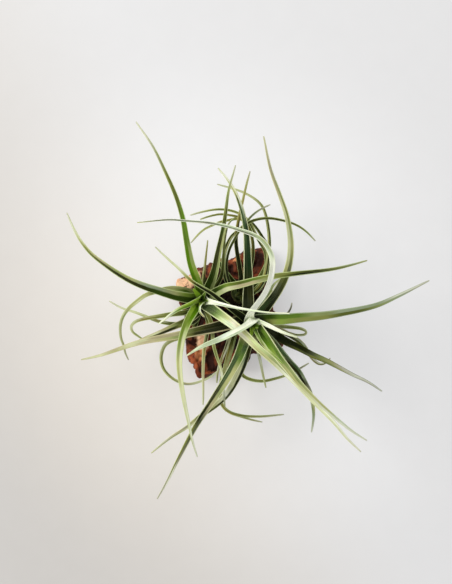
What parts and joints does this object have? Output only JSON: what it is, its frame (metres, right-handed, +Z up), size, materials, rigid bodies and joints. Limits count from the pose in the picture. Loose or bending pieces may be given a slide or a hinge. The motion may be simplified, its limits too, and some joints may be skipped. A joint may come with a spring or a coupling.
{
  "type": "air plant on bark",
  "caption": "Clump of rosettes with long tapering channelled leaves, silver and green, grown together on a rough chunk of bark that stands by itself on a flat surface.",
  "frame": {"origin": "centre of the bark chunk's flat underside", "axes": "+Z up from the surface the bark rests on; +X to the right and +Y away from the front, as seen from above"},
  "size_m": [0.2705, 0.283, 0.1267],
  "materials": {
    "bark": "rough flaky red-brown bark with paler rims",
    "stem": "matte dry leaf sheaths, green at the heart",
    "leaf_heart": "satin bright green, paler towards the tip",
    "leaf_green": "satin dark green with a silvery scaly bloom",
    "leaf_silver": "matte silver-white scaly bloom over green",
    "leaf_olive": "matte olive, yellowing towards the tip"
  },
  "bodies": {
    "root": {"bark_chunk": "bark", "left_stem": "stem", "right_stem": "stem", "back_stem": "stem", "left_leaf_heart_curl": "leaf_heart", "left_leaf_north": "leaf_heart", "left_leaf_southwest_short": "leaf_heart", "left_leaf_south": "leaf_heart", "left_leaf_east_white": "leaf_silver", "left_leaf_southeast": "leaf_silver", "left_leaf_west": "leaf_green", "left_leaf_east": "leaf_green", "left_leaf_northeast": "leaf_green", "left_leaf_north_short": "leaf_olive", "left_leaf_southwest": "leaf_green", "left_leaf_west_loop": "leaf_olive", "left_leaf_south_pale": "leaf_olive", "left_leaf_south_thin": "leaf_olive", "left_leaf_west_curl": "leaf_olive", "left_leaf_north_pale": "leaf_olive", "left_leaf_west_thin": "leaf_olive", "left_leaf_low_curl": "leaf_olive", "right_leaf_southwest_white": "leaf_silver", "right_leaf_white_curl": "leaf_silver", "right_leaf_heart_pale": "leaf_heart", "right_leaf_southeast": "leaf_heart", "right_leaf_east_short": "leaf_silver", "right_leaf_east": "leaf_green", "right_leaf_northwest": "leaf_green", "right_leaf_north": "leaf_green", "right_leaf_southwest_long": "leaf_green", "right_leaf_west": "leaf_green", "right_leaf_north_dark": "leaf_green", "right_leaf_south_bent": "leaf_green", "right_leaf_southeast_low": "leaf_green", "right_leaf_southwest_back": "leaf_olive", "right_leaf_northeast": "leaf_green", "right_leaf_southeast_hook": "leaf_olive", "right_leaf_east_loop": "leaf_olive", "right_leaf_south_light": "leaf_olive", "right_leaf_south_thin": "leaf_olive", "right_leaf_south_hook": "leaf_olive", "right_leaf_south_arc": "leaf_olive", "right_leaf_south_hook_thin": "leaf_olive", "back_leaf_northeast": "leaf_olive", "back_leaf_north": "leaf_olive", "back_leaf_arc_right": "leaf_olive", "back_leaf_arc_outer": "leaf_olive", "back_leaf_arc_left": "leaf_olive", "back_leaf_arc_middle": "leaf_olive", "back_leaf_arc_inner": "leaf_olive", "back_leaf_northwest": "leaf_green", "back_leaf_northeast_low": "leaf_green", "back_leaf_east_low": "leaf_olive"}
  },
  "joints": []
}
